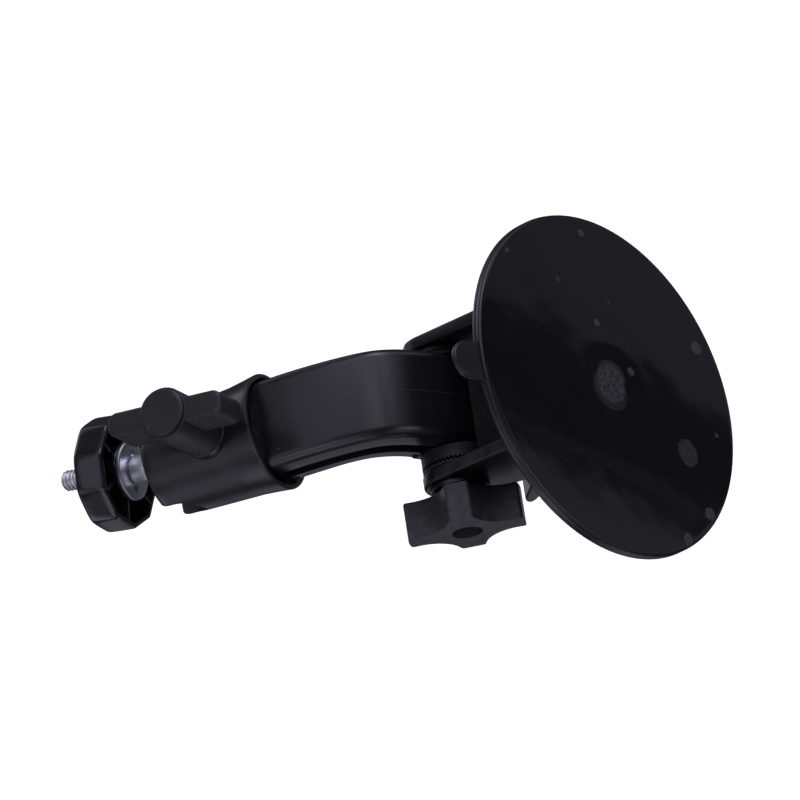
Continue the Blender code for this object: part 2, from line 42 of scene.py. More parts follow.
# ---------------------------------------------------------------- sizes, in mm, the same as the CAD model's
CUP_R, PAD_T, PAD_BOSS_R, PAD_BOSS_Z = 54.0, 3.4, 12.5, -9.5
TAB_REACH, TAB_HALF, TAB_TURN = 65.0, 6.0, 2.0
GAP = 0.3
RING_R, RING_T = 50.2, 2.2
HOUSING_R, HOUSING_Z = 43.0, -13.9
PIVOT_X, PIVOT_Z = 31.8, -36.0
EAR_OUT, EAR_IN, EAR_T, LEFT_EAR_IN = 24.5, 20.5, 4.0, 17.3
EAR_END_R, EAR_FRONT, EAR_BACK = 10.6, 40.6, 10.0
SADDLE_BACK, SADDLE_FRONT, SADDLE_Z = 13.0, 38.0, -21.8
BOLT_R = 3.0
KNUCKLE_R, ARM_HALF, ARM_EDGE = 10.1, 14.0, 3.2
STAR_R, STAR_SHORT, STAR_TOP, STAR_BOTTOM = 17.6, 12.9, 27.7, 39.3
STAR_LOBES, STAR_PHASE, STAR_CUT_DIST, STAR_CUT_R, STAR_HOLE_R = 4, 35.0, 20.5, 11.0, 4.6
LEVER_X, LEVER_Z, LEVER_LEAN, LEVER_LEN, LEVER_HALF, CAM_R = 0.0, -22.9, 36.0, 48.5, 10.0, 7.5
ARM_END = Vector((68.6, 0.0, -71.8))
BARREL_TILT, BARREL_LEN, BARREL_R, MOUTH_R, RIM_R, BORE_R = 15.0, 38.6, 16.1, 15.1, 18.0, 11.6
BALL_R, BALL_S, NOTCH_HALF, NOTCH_DEPTH, NOTCH_TURN = 7.5, 31.1, 6.6, 11.0, -4.0
TEE_S, TEE_HUB_R, BOSS_SEAT_R, TEE_BASE, TEE_FACE = 15.4, 7.9, 7.7, 18.6, 41.2
WING_LEN, WING_H, WING_DEPTH, WING_TURN = 38.4, 7.6, 13.0, 5.5
STUD_DIR = Vector((0.272, -0.158, -0.949)).normalized()
SHANK_R, THREAD_R, THREAD_ROOT, THREAD_PITCH, STUD_LEN = 4.35, 3.15, 2.5, 1.27, 42.0
WHEEL_BACK, WHEEL_T, WHEEL_R, WHEEL_SIDES, WHEEL_WALL, RIBS = 19.7, 9.6, 17.3, 10, 1.5, 6
WHEEL_VERTEX = Vector((-0.157, 0.918, -0.344))

# ---------------------------------------------------------------- placements


def placed(origin, z_dir, x_hint):
    """Placement with local Z along z_dir and local X near x_hint."""
    z = Vector(z_dir).normalized()
    x = Vector(x_hint) - Vector(x_hint).dot(z) * z
    x.normalize()
    y = z.cross(x)
    return Matrix.Translation(Vector(origin)) @ Matrix((x, y, z)).transposed().to_4x4()


tilt = math.radians(BARREL_TILT)
DOWN = Vector((math.sin(tilt), 0.0, -math.cos(tilt)))
OUT = Vector((math.cos(tilt), 0.0, math.sin(tilt)))
IDENT = Matrix.Identity(4)
SIDE = Matrix(((1, 0, 0, 0), (0, 0, 1, 0), (0, 1, 0, 0), (0, 0, 0, 1)))
HINGE = Matrix.Translation((PIVOT_X, 0, PIVOT_Z)) @ SIDE
PIN = Matrix.Translation((LEVER_X, 0, LEVER_Z)) @ SIDE
BARREL = placed(ARM_END, DOWN, OUT)
BALL_C = ARM_END + DOWN * BALL_S
STUD = placed(BALL_C, STUD_DIR, OUT)
WHEEL = placed(BALL_C, STUD_DIR, WHEEL_VERTEX)
TEE = placed(ARM_END + DOWN * TEE_S, OUT, DOWN)

# ---------------------------------------------------------------- outlines


def circle(radius, segs, cx=0.0, cy=0.0, phase=0.0):
    return [(cx + radius * math.cos(math.tau * i / segs + phase),
             cy + radius * math.sin(math.tau * i / segs + phase)) for i in range(segs)]


def arc(radius, cx, cy, start, stop, steps):
    pts = []
    for i in range(steps + 1):
        a = math.radians(start + (stop - start) * i / steps)
        pts.append((cx + radius * math.cos(a), cy + radius * math.sin(a)))
    return pts


def rounded_rect(half_x, half_y, radius, steps):
    pts = []
    for sx, sy, start in ((1, 1, 0), (-1, 1, 90), (-1, -1, 180), (1, -1, 270)):
        pts += arc(radius, sx * (half_x - radius), sy * (half_y - radius), start, start + 90, steps)
    return pts


def smooth_path(points, steps):
    """Catmull-Rom through the points."""
    out = []
    pts = [points[0]] + list(points) + [points[-1]]
    for i in range(1, len(pts) - 2):
        p0, p1, p2, p3 = (Vector(p) for p in pts[i - 1:i + 3])
        for k in range(steps):
            t = k / steps
            v = 0.5 * (2 * p1 + (p2 - p0) * t + (2 * p0 - 5 * p1 + 4 * p2 - p3) * t * t
                       + (3 * p1 - p0 - 3 * p2 + p3) * t ** 3)
            out.append((v[0], v[1]))
    out.append(tuple(points[-1]))
    return out


def soften(outline, step, passes):
    """Resamples a closed outline every step mm and rounds its corners by repeated averaging."""
    pts = [Vector(p) for p in outline]
    total = sum((pts[i] - pts[i - 1]).length for i in range(len(pts)))
    count = int(total / step)
    even, i, left = [], 0, 0.0
    here = pts[0]
    spacing = total / count
    while len(even) < count:
        nxt = pts[(i + 1) % len(pts)]
        seg = (nxt - here).length
        if seg < left:
            left -= seg
            here = nxt
            i += 1
            continue
        here = here + (nxt - here).normalized() * left if seg > 0 else here
        even.append(here.copy())
        left = spacing
    for _ in range(passes):
        n = len(even)
        even = [(even[k - 1] + even[k] * 2 + even[(k + 1) % n]) / 4 for k in range(n)]
    return [(p.x, p.y) for p in even]


def rounded_profile(profile, radius, steps=4):
    """Rounds the corners of a closed (r, z) outline that don't lie on the axis."""
    out = []
    n = len(profile)
    for i, p in enumerate(profile):
        p = Vector(p)
        a, b = Vector(profile[i - 1]) - p, Vector(profile[(i + 1) % n]) - p
        if p.x < 1e-6 or a.length < 1e-6 or b.length < 1e-6:
            out.append((p.x, p.y))
            continue
        angle = a.angle(b)
        if angle > math.radians(168):
            out.append((p.x, p.y))
            continue
        back = min(radius / math.tan(angle / 2), 0.45 * a.length, 0.45 * b.length)
        start, end = p + a.normalized() * back, p + b.normalized() * back
        for k in range(steps + 1):
            t = k / steps
            q = start * (1 - t) ** 2 + p * 2 * t * (1 - t) + end * t * t
            out.append((q.x, q.y))
    return out


# ---------------------------------------------------------------- mesh helpers, lengths in mm
def to_object(bm, name, place, angle=32.0):
    bmesh.ops.remove_doubles(bm, verts=bm.verts, dist=0.00001)
    bmesh.ops.recalc_face_normals(bm, faces=bm.faces)
    bmesh.ops.transform(bm, matrix=Matrix.Scale(MM, 4) @ place, verts=bm.verts)
    if bm.calc_volume(signed=True) < 0:
        bmesh.ops.reverse_faces(bm, faces=bm.faces)
    mesh = bpy.data.meshes.new(name)
    bm.to_mesh(mesh)
    bm.free()
    obj = bpy.data.objects.new(name, mesh)
    bpy.context.scene.collection.objects.link(obj)
    shade(obj, angle)
    return obj


def shade(obj, angle=32.0):
    mesh = obj.data
    mesh.polygons.foreach_set("use_smooth", [True] * len(mesh.polygons))
    mesh.set_sharp_from_angle(angle=math.radians(angle))


def lathe(name, profile, segs, place, angle=32.0):
    bm = bmesh.new()
    ring = [bm.verts.new((r, 0.0, z)) for r, z in profile]
    edges = []
    for i in range(len(ring)):
        k = (i + 1) % len(ring)
        if profile[i][0] < 1e-6 and profile[k][0] < 1e-6:
            continue
        edges.append(bm.edges.new((ring[i], ring[k])))
    bmesh.ops.spin(bm, geom=edges, cent=(0, 0, 0), axis=(0, 0, 1), dvec=(0, 0, 0),
                   angle=math.tau, steps=segs, use_merge=True)
    return to_object(bm, name, place, angle)


def prism(name, outline, low, high, place, edge=0.0, edge_segs=4, angle=32.0, corner=0.0, layers=1):
    """Closed outline pulled from z=low to z=high, rims rounded by edge, upright corners by corner."""
    bm = bmesh.new()
    face = bm.faces.new([bm.verts.new((x, y, low)) for x, y in outline])
    last = face
    for _ in range(layers):
        moved = bmesh.ops.extrude_face_region(bm, geom=[last])
        top = [g for g in moved["geom"] if isinstance(g, bmesh.types.BMVert)]
        bmesh.ops.translate(bm, vec=(0, 0, (high - low) / layers), verts=top)
        made = [g for g in moved["geom"] if isinstance(g, bmesh.types.BMFace)]
        if last is not face:
            bmesh.ops.delete(bm, geom=[last], context='FACES_ONLY')
        last = made[0]
    if corner > 0.0:
        upright = [e for e in bm.edges if abs(e.verts[0].co.z - e.verts[1].co.z) > 1e-6]
        bmesh.ops.bevel(bm, geom=upright, offset=corner, segments=3, profile=0.5, affect='EDGES',
                        clamp_overlap=True)
    if edge > 0.0:
        rims = [e for e in bm.edges if abs(e.verts[0].co.z - e.verts[1].co.z) < 1e-6
                and (abs(e.verts[0].co.z - low) < 1e-6 or abs(e.verts[0].co.z - high) < 1e-6)]
        bmesh.ops.bevel(bm, geom=rims, offset=edge, segments=edge_segs, profile=0.5,
                        affect='EDGES', clamp_overlap=True)
    return to_object(bm, name, place, angle)


def rod(name, radius, low, high, segs, place, edge=0.0):
    return prism(name, circle(radius, segs), low, high, place, edge=edge, edge_segs=3)


def combine(obj, steps, angle=32.0):
    """Applies (operation, tool) Booleans in order and removes the tools."""
    for how, tool in steps:
        mod = obj.modifiers.new(how.lower(), 'BOOLEAN')
        mod.operation = how
        mod.solver = 'EXACT'
        mod.object = tool
    bpy.context.view_layer.update()
    deps = bpy.context.evaluated_depsgraph_get()
    mesh = bpy.data.meshes.new_from_object(obj.evaluated_get(deps))
    old = obj.data
    obj.modifiers.clear()
    obj.data = mesh
    bpy.data.meshes.remove(old)
    mesh.materials.clear()
    for _, tool in steps:
        tool_mesh = tool.data
        bpy.data.objects.remove(tool, do_unlink=True)
        bpy.data.meshes.remove(tool_mesh)
    clean = bmesh.new()
    clean.from_mesh(mesh)
    bmesh.ops.remove_doubles(clean, verts=clean.verts, dist=2e-6)
    bmesh.ops.dissolve_degenerate(clean, dist=2e-6, edges=clean.edges)
    clean.to_mesh(mesh)
    clean.free()
    shade(obj, angle)
    return obj


def bevel(obj, width, angle=30.0, segments=3):
    mod = obj.modifiers.new("soft_edges", 'BEVEL')
    mod.width = width * MM
    mod.segments = segments
    mod.limit_method = 'ANGLE'
    mod.angle_limit = math.radians(angle)
    mod.harden_normals = True
    mod.use_clamp_overlap = True
    return obj


def place_piece(obj, mat, body, node):
    obj.data.materials.clear()
    obj.data.materials.append(mat)
    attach(obj, body)
    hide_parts(node)
    return obj


# ---------------------------------------------------------------- materials
class Graph:
    """Small helper for building a Principled material from row-frame coordinates in mm."""

    def __init__(self, name):
        self.mat = bpy.data.materials.new(name)
        self.mat.use_nodes = True
        self.tree = self.mat.node_tree
        self.shader = self.tree.nodes["Principled BSDF"]
        coord = self.tree.nodes.new("ShaderNodeTexCoord")
        scale = self.tree.nodes.new("ShaderNodeVectorMath")
        scale.operation = 'SCALE'
        scale.inputs["Scale"].default_value = 1 / MM
        self.link(coord.outputs["Object"], scale.inputs[0])
        self.mm = scale.outputs[0]

    def link(self, a, b):
        self.tree.links.new(a, b)

    def noise(self, size, detail=3.0, rough=0.55, stretch=None):
        """Noise whose features are about size mm wide."""
        tex = self.tree.nodes.new("ShaderNodeTexNoise")
        tex.inputs["Scale"].default_value = 1.0 / size
        tex.inputs["Detail"].default_value = detail
        tex.inputs["Roughness"].default_value = rough
        vec = self.mm
        if stretch:
            mul = self.tree.nodes.new("ShaderNodeVectorMath")
            mul.operation = 'MULTIPLY'
            mul.inputs[1].default_value = stretch
            self.link(vec, mul.inputs[0])
            vec = mul.outputs[0]
        self.link(vec, tex.inputs["Vector"])
        return tex.outputs["Fac"]

    def specks(self, spacing, radius, seed):
        """1 on small dots, 0 elsewhere."""
        shift = self.tree.nodes.new("ShaderNodeVectorMath")
        shift.operation = 'ADD'
        shift.inputs[1].default_value = (seed, seed * 0.7, seed * 1.3)
        self.link(self.mm, shift.inputs[0])
        tex = self.tree.nodes.new("ShaderNodeTexVoronoi")
        tex.inputs["Scale"].default_value = 1.0 / spacing
        self.link(shift.outputs[0], tex.inputs["Vector"])
        return self.ramp(tex.outputs["Distance"], radius / spacing * 0.6, radius / spacing, 1.0, 0.0)

    def ramp(self, value, low, high, out_low, out_high):
        node = self.tree.nodes.new("ShaderNodeMapRange")
        node.clamp = True
        node.inputs["From Min"].default_value = low
        node.inputs["From Max"].default_value = high
        node.inputs["To Min"].default_value = out_low
        node.inputs["To Max"].default_value = out_high
        self.link(value, node.inputs["Value"])
        return node.outputs["Result"]

    def math(self, op, a, b):
        node = self.tree.nodes.new("ShaderNodeMath")
        node.operation = op
        for socket, value in zip(node.inputs, (a, b)):
            if isinstance(value, (int, float)):
                socket.default_value = value
            else:
                self.link(value, socket)
        return node.outputs[0]

    def mix(self, fac, a, b):
        node = self.tree.nodes.new("ShaderNodeMix")
        node.data_type = 'RGBA'
        self.link(fac, node.inputs[0])
        for socket, value in zip((node.inputs[6], node.inputs[7]), (a, b)):
            if isinstance(value, tuple):
                socket.default_value = (*value, 1.0)
            else:
                self.link(value, socket)
        return node.outputs[2]

    def bump(self, height, depth_mm, strength=1.0, normal=None):
        node = self.tree.nodes.new("ShaderNodeBump")
        node.inputs["Strength"].default_value = strength
        node.inputs["Distance"].default_value = depth_mm * MM
        self.link(height, node.inputs["Height"])
        if normal is not None:
            self.link(normal, node.inputs["Normal"])
        return node.outputs["Normal"]

    def set(self, **values):
        for key, value in values.items():
            socket = self.shader.inputs[key.replace("_", " ")]
            if isinstance(value, tuple):
                socket.default_value = (*value, 1.0)
            elif isinstance(value, (int, float)):
                socket.default_value = value
            else:
                self.link(value, socket)
        return self.mat


def tint(colour, k):
    return tuple(c * k for c in colour)


def moulded(name, colour, rough, spread=0.06, grain=0.25, grain_depth=0.004, wave_depth=0.0, wave=9.0,
            dust=0.0, wear=0.0, spec=0.5):
    """Injection-moulded plastic: cloudy gloss, fine grain, a few dust specks and pale worn edges."""
    g = Graph(name)
    cloud = g.noise(14.0, 4.0, 0.6)
    fine = g.noise(grain, 2.0)
    col = g.mix(g.ramp(cloud, 0.3, 0.7, 0.0, 1.0), tint(colour, 0.8), tint(colour, 1.25))
    rough_out = g.math('ADD', g.ramp(cloud, 0.3, 0.7, rough - spread, rough + spread),
                       g.ramp(fine, 0.3, 0.7, -spread * 0.4, spread * 0.4))
    if wear > 0.0:
        geo = g.tree.nodes.new("ShaderNodeNewGeometry")
        edge = g.ramp(geo.outputs["Pointiness"], 0.515, 0.56, 0.0, wear)
        edge = g.math('MULTIPLY', edge, g.ramp(g.noise(3.0, 3.0), 0.35, 0.65, 0.4, 1.0))
        col = g.mix(edge, col, (0.09, 0.09, 0.095))
        rough_out = g.math('ADD', rough_out, g.math('MULTIPLY', edge, 0.15))
    if dust > 0.0:
        dots = g.math('MAXIMUM', g.specks(4.3, 0.16, 3.0), g.specks(9.0, 0.3, 11.0))
        dots = g.math('MULTIPLY', dots, g.ramp(g.noise(22.0, 2.0), 0.42, 0.62, 0.0, dust))
        col = g.mix(dots, col, (0.28, 0.28, 0.29))
        rough_out = g.math('ADD', rough_out, g.math('MULTIPLY', dots, 0.4))
    normal = g.bump(fine, grain_depth)
    if wave_depth > 0.0:
        normal = g.bump(g.noise(wave, 1.5, 0.4), wave_depth, normal=normal)
    return g.set(Base_Color=col, Roughness=rough_out, Normal=normal, Specular_IOR_Level=spec)


def metal(name, colour, rough, brush=None, stain=0.12, anisotropic=0.0):
    """Plated or plain metal with a drawn or cloudy finish."""
    g = Graph(name)
    cloud = g.noise(5.0, 4.0, 0.6)
    streak = g.noise(0.35, 3.0, 0.6, stretch=brush or (1.0, 1.0, 1.0))
    col = g.mix(g.ramp(cloud, 0.35, 0.7, 0.0, 1.0), colour, tint(colour, 1.0 - stain * 2.5))
    rough_out = g.math('ADD', g.ramp(cloud, 0.3, 0.7, rough - 0.05, rough + 0.08),
                       g.ramp(streak, 0.3, 0.7, -0.05, 0.05))
    normal = g.bump(streak, 0.006)
    return g.set(Base_Color=col, Roughness=rough_out, Normal=normal, Metallic=1.0, Anisotropic=anisotropic)


BLACK = (0.0065, 0.0065, 0.0075)
m_housing = moulded("housing_abs", BLACK, 0.36, grain=0.3, grain_depth=0.006, dust=0.6, wear=0.3, spec=0.28)
m_ring = moulded("ring_abs", BLACK, 0.42, grain=0.3, grain_depth=0.006, dust=0.4, wear=0.3)
m_arm = moulded("arm_abs", BLACK, 0.32, spread=0.02, grain=0.4, grain_depth=0.007, wave_depth=0.02, wave=11.0,
                dust=0.9, wear=0.25)
m_barrel = moulded("barrel_abs", BLACK, 0.36, grain=0.3, grain_depth=0.005, dust=0.6, wear=0.4)
m_tee = moulded("tee_nylon", (0.008, 0.008, 0.009), 0.5, grain=0.28, grain_depth=0.014, dust=0.4, wear=0.4)
m_cap = moulded("cap_nylon", (0.008, 0.008, 0.009), 0.46, grain=0.28, grain_depth=0.012, dust=0.4, wear=0.3)
m_wheel = moulded("wheel_abs", BLACK, 0.24, spread=0.02, grain=0.5, grain_depth=0.002, wave_depth=0.01, wave=8.0,
                  dust=0.5)
m_star = moulded("star_abs", BLACK, 0.46, grain=0.3, grain_depth=0.006, dust=0.5, wear=0.5, spec=0.36)
m_lever = moulded("lever_abs", BLACK, 0.36, grain=0.3, grain_depth=0.006, dust=0.6, wear=0.3)
# Black nylon for the tooth rings, spacer washer and ball liner, tinted darker than the other black parts: painted
# shade for parts that sit in recesses between the ear and the arm and inside the barrel.
m_shaded_nylon = moulded("nylon_painted_shade", tint(BLACK, 0.6), 0.5, grain=0.3, grain_depth=0.006, wear=0.2, spec=0.3)
m_rubber = moulded("rubber", (0.012, 0.012, 0.012), 0.75, grain=0.18, grain_depth=0.03, dust=0.5, spec=0.35)
m_acetal = moulded("acetal", (0.62, 0.62, 0.58), 0.36, grain=0.3, grain_depth=0.004)
m_zinc = metal("zinc_plate", (0.66, 0.68, 0.72), 0.3, brush=(1.0, 1.0, 0.15))
m_thread = metal("zinc_thread", (0.86, 0.88, 0.92), 0.38)
m_steel = metal("turned_steel", (0.5, 0.5, 0.51), 0.33, brush=(0.1, 0.1, 1.0))
m_spring = metal("spring_steel", (0.42, 0.42, 0.43), 0.32)
m_dark_steel = metal("blackened_steel", (0.07, 0.07, 0.075), 0.36, brush=(0.1, 0.1, 1.0))


# Scuffs on the pad's face: x, y, radius in mm and how pale they are.
SCUFFS = ((-30.3, 16.9, 4.4, 0.45), (-42.6, -19.4, 2.4, 0.9), (1.5, -48.5, 1.4, 0.8), (36.1, -36.6, 1.0, 0.8),
          (2.1, -19.3, 1.3, 0.9), (-45.2, 8.5, 1.0, 0.8), (-9.7, -5.3, 1.4, 0.8), (-36.3, 35.3, 2.3, 0.8),
          (-24.5, 45.4, 2.2, 0.8), (16.0, -31.0, 1.0, 0.6), (-5.0, -27.0, 0.7, 0.7))


def pad_material():
    """Glossy soft PVC with a dull round mark at the centre, scuffs, dust and a matte edge band."""
    g = Graph("pad_pvc")
    split = g.tree.nodes.new("ShaderNodeSeparateXYZ")
    g.link(g.mm, split.inputs[0])
    flat = g.tree.nodes.new("ShaderNodeCombineXYZ")
    g.link(split.outputs[0], flat.inputs[0])
    g.link(split.outputs[1], flat.inputs[1])

    def distance(x, y):
        node = g.tree.nodes.new("ShaderNodeVectorMath")
        node.operation = 'DISTANCE'
        g.link(flat.outputs[0], node.inputs[0])
        node.inputs[1].default_value = (x, y, 0.0)
        return node.outputs["Value"]

    radius = distance(0.0, 0.0)
    wobble = g.ramp(g.noise(2.2, 3.0), 0.2, 0.8, -0.6, 0.6)
    mark = g.ramp(g.math('ADD', radius, wobble), 5.8, 6.6, 1.0, 0.0)
    speckle = g.ramp(g.noise(1.1, 4.0, 0.7), 0.4, 0.66, 0.25, 1.0)
    mark = g.math('MULTIPLY', mark, speckle)
    scuff = 0.0
    for x, y, size, pale in SCUFFS:
        spot = g.ramp(g.math('ADD', distance(x, y), wobble), size - 0.25, size, pale, 0.0)
        scuff = g.math('MAXIMUM', scuff, spot)
    scuff = g.math('MULTIPLY', scuff, g.ramp(speckle, 0.25, 1.0, 0.6, 1.0))
    face = g.ramp(radius, CUP_R - 0.9, CUP_R - 0.5, 1.0, 0.0)
    cloud = g.noise(16.0, 4.0, 0.6)
    smear = g.ramp(g.noise(9.0, 5.0, 0.7), 0.56, 0.74, 0.0, 0.5)
    dots = g.math('MAXIMUM', g.specks(5.5, 0.14, 2.0), g.specks(14.0, 0.3, 17.0))
    dots = g.math('MULTIPLY', dots, g.ramp(g.noise(25.0, 2.0), 0.45, 0.62, 0.0, 0.55))
    base = g.mix(g.ramp(cloud, 0.3, 0.7, 0.0, 1.0), (0.0015, 0.0015, 0.0019), (0.0024, 0.0024, 0.003))
    base = g.mix(mark, base, (0.052, 0.052, 0.056))
    base = g.mix(g.math('MULTIPLY', smear, 0.07), base, (0.02, 0.02, 0.023))
    base = g.mix(dots, base, (0.25, 0.25, 0.26))
    base = g.mix(scuff, base, (0.06, 0.06, 0.064))
    gloss = g.math('ADD', g.ramp(cloud, 0.3, 0.7, 0.05, 0.08), g.math('MULTIPLY', smear, 0.1))
    gloss = g.math('ADD', gloss, g.math('MULTIPLY', g.math('MAXIMUM', mark, scuff), 0.42))
    band = g.math('SUBTRACT', 1.0, face)
    rough_out = g.math('ADD', gloss, g.math('MULTIPLY', band, 0.3))
    fine = g.noise(0.5, 2.0)
    normal = g.bump(fine, 0.0006)
    normal = g.bump(g.noise(13.0, 1.5, 0.4), 0.05, normal=normal)
    return g.set(Base_Color=base, Roughness=rough_out, Normal=normal, Specular_IOR_Level=0.5)


m_pad = pad_material()

# ---------------------------------------------------------------- suction pad
PAD_SEGS, PAD_STEP, PAD_DOME = 216, 1.3, 1.2


def make_pad():
    top = [(0.0, 0.0)]
    r = PAD_STEP
    while r < CUP_R - 1.6:
        top.append((r, 0.0))
        r += PAD_STEP
    edge = [(CUP_R - 1.2, 0.0), (CUP_R - 0.75, -0.05), (CUP_R - 0.35, -0.2), (CUP_R - 0.1, -0.45), (CUP_R, -0.8),
            (CUP_R, -1.5), (CUP_R - 0.12, -1.75), (CUP_R - 0.12, -1.95), (CUP_R, -2.2),
            (CUP_R, -PAD_T + 0.5), (CUP_R - 0.15, -PAD_T + 0.2), (CUP_R - 0.5, -PAD_T),
            (CUP_R - 3.0, -PAD_T), (PAD_BOSS_R + 0.8, -PAD_T), (PAD_BOSS_R, -PAD_T - 0.8), (PAD_BOSS_R, PAD_BOSS_Z),
            (4.7, PAD_BOSS_Z), (4.7, -6.5), (9.0, -6.5), (9.0, -3.0), (0.0, -3.0)]
    pad = lathe("pad", top + edge, PAD_SEGS, IDENT, angle=40.0)
    tab = [(CUP_R - 4.5, -TAB_HALF - 2.2), (CUP_R - 0.6, -TAB_HALF - 1.2), (CUP_R + 1.4, -TAB_HALF),
           (TAB_REACH - TAB_HALF, -TAB_HALF)]
    tab += arc(TAB_HALF, TAB_REACH - TAB_HALF, 0, -80, 80, 28)
    tab += [(TAB_REACH - TAB_HALF, TAB_HALF), (CUP_R + 1.4, TAB_HALF), (CUP_R - 0.6, TAB_HALF + 1.2),
            (CUP_R - 4.5, TAB_HALF + 2.2)]
    turned = Matrix.Rotation(math.radians(TAB_TURN), 4, 'Z')
    tool = prism("pad_tab", tab, -PAD_T + 0.5, -0.9, turned, edge=0.7, edge_segs=4)
    combine(pad, [('UNION', tool)], angle=40.0)
    for v in pad.data.vertices:
        x, y, z = (c / MM for c in v.co)
        r = math.hypot(x, y)
        if z > -0.3 and r < CUP_R:
            share = min(1.0, (CUP_R - r) / 6.0)
            ripple = noise.noise(Vector((x / 19.0, y / 19.0, 0.4))) * 0.06 \
                + noise.noise(Vector((x / 8.0, y / 8.0, 3.1))) * 0.012 \
                - 0.06 * math.cos((r - 7.0) / 2.6) * math.exp(-((r - 9.0) / 7.0) ** 2)
            dome = PAD_DOME * (1.0 - (r / CUP_R) ** 2)
            dimple = 0.3 * max(0.0, min(1.0, (6.9 - r) / 1.1))
            v.co.z = (z + dome - dimple + ripple * share) * MM
    return pad


place_piece(make_pad(), m_pad, "base", "suction_pad")

# ---------------------------------------------------------------- ring and housing
ring = lathe("ring", rounded_profile([
    (44.9, -PAD_T - GAP), (RING_R - 0.4, -PAD_T - GAP), (RING_R, -PAD_T - GAP - 0.4),
    (RING_R, -PAD_T - GAP - RING_T + 0.6), (RING_R - 0.6, -PAD_T - GAP - RING_T),
    (44.9, -PAD_T - GAP - RING_T)], 0.25), 192, IDENT)
place_piece(ring, m_ring, "base", "cup_ring")


def make_housing():
    body = lathe("housing", rounded_profile([
        (20.5, -PAD_T - GAP), (44.6, -PAD_T - GAP), (44.6, -6.5), (HOUSING_R, -8.0),
        (HOUSING_R - 0.5, -11.4), (HOUSING_R - 2.0, -13.0), (HOUSING_R - 11.0, HOUSING_Z),
        (4.6, HOUSING_Z), (4.6, -9.8), (20.5, -9.8)], 0.5), 176, IDENT)
    back = Vector((EAR_BACK - PIVOT_X, -6.6 - PIVOT_Z))
    touch = math.degrees(math.atan2(back.y, back.x) + math.acos(EAR_END_R / back.length)) - 360.0
    ear = [(EAR_FRONT - PIVOT_X, -6.6 - PIVOT_Z)] + arc(EAR_END_R, 0, 0, 0, touch, 64) + [tuple(back)]
    steps = []
    for low, high in ((EAR_IN, EAR_OUT), (-LEFT_EAR_IN - EAR_T, -LEFT_EAR_IN)):
        steps.append(('UNION', prism("ear", ear, low, high, HINGE, edge=0.7)))
    saddle = rounded_rect((SADDLE_FRONT - SADDLE_BACK) / 2, (EAR_IN + LEFT_EAR_IN + 2) / 2, 1.5, 6)
    mid = Matrix.Translation(((SADDLE_FRONT + SADDLE_BACK) / 2, (EAR_IN - LEFT_EAR_IN) / 2, 0))
    steps.append(('UNION', prism("saddle", saddle, SADDLE_Z, -11.0, mid, edge=0.8)))
    for turn in (42.0, 90.0, 138.0, 222.0, 270.0, 318.0):
        rib = Matrix.Rotation(math.radians(turn), 4, 'Z') @ Matrix.Translation((HOUSING_R - 12.0, 0, 0))
        steps.append(('UNION', prism("rib", rounded_rect(9.0, 0.9, 0.5, 4), HOUSING_Z - 0.35, -11.0, rib, edge=0.25)))
    steps.append(('DIFFERENCE', rod("bore", BOLT_R + 0.3, -30, 30, 64, HINGE)))
    steps.append(('DIFFERENCE', prism("pocket", circle(5.1, 6), -26, -LEFT_EAR_IN - 1.8, HINGE)))
    return combine(body, steps)


place_piece(make_housing(), m_housing, "base", "housing_bracket")

# ---------------------------------------------------------------- hinge teeth


def make_teeth(name, plain, toothed, teeth=48, height=0.65, outer=10.3, inner=3.5):
    """Flat ring about the hinge with trapezoid teeth on one face."""
    bm = bmesh.new()
    per = 8
    rings = []
    flat_side = 1.0 if toothed > plain else -1.0
    for i in range(teeth * per):
        a = math.tau * i / (teeth * per)
        phase = (i % per) / per
        ramp = abs(phase * 2.0 - 1.0)
        rise = height * min(1.0, max(0.0, (ramp - 0.12) / 0.76))
        row = []
        for r, z in ((inner, plain), (outer - 0.25, plain), (outer, plain + 0.25 * flat_side), (outer, toothed + rise),
                     (inner, toothed + rise)):
            row.append(bm.verts.new((r * math.cos(a), r * math.sin(a), z)))
        rings.append(row)
    for i in range(len(rings)):
        a, b = rings[i - 1], rings[i]
        for k in range(5):
            bm.faces.new((a[k], a[(k + 1) % 5], b[(k + 1) % 5], b[k]))
    return to_object(bm, name, HINGE, 25.0)


arm_teeth = make_teeth("arm_teeth", ARM_HALF + 0.3, 18.15)
place_piece(arm_teeth, m_shaded_nylon, "arm", "arm_tooth_ring")
ear_teeth = make_teeth("ear_teeth", EAR_IN - 0.3, 19.05)
place_piece(ear_teeth, m_shaded_nylon, "base", "ear_tooth_ring")

# ---------------------------------------------------------------- star knob


def make_star():
    outline = circle(STAR_R, 720)
    cuts = []
    for i in range(STAR_LOBES):
        a = math.radians(STAR_PHASE + 360.0 / STAR_LOBES * (i + 0.5))
        cuts.append(Vector((STAR_CUT_DIST * math.cos(a), STAR_CUT_DIST * math.sin(a))))
    shape = []
    for x, y in outline:
        ray = Vector((x, y)).normalized()
        r = min(STAR_R, STAR_SHORT / max(0.01, abs(math.cos(math.atan2(y, x) - math.radians(STAR_PHASE)))))
        for c in cuts:
            along = ray.dot(c)
            off = abs(ray.x * c.y - ray.y * c.x)
            if along > 0 and off < STAR_CUT_R:
                r = min(r, along - math.sqrt(STAR_CUT_R ** 2 - off ** 2))
        shape.append((ray.x * r, ray.y * r))
    shape = soften(shape, 0.25, 14)
    star = prism("star", shape, STAR_TOP, STAR_BOTTOM, HINGE, edge=0.6, edge_segs=4)
    collar = lathe("collar", rounded_profile([(0, EAR_OUT + 1.8), (7.6, EAR_OUT + 1.8), (7.6, STAR_TOP + 1.0),
                                              (0, STAR_TOP + 1.0)], 0.4), 72, HINGE)
    steps = [('UNION', collar),
             ('DIFFERENCE', rod("hole", STAR_HOLE_R, 34.4, 45, 72, HINGE)),
             ('DIFFERENCE', prism("nut_pocket", circle(6.1, 6), 29.9, 34.7, HINGE)),
             ('DIFFERENCE', rod("bore", 3.3, 20, 31, 48, HINGE))]
    return combine(star, steps)


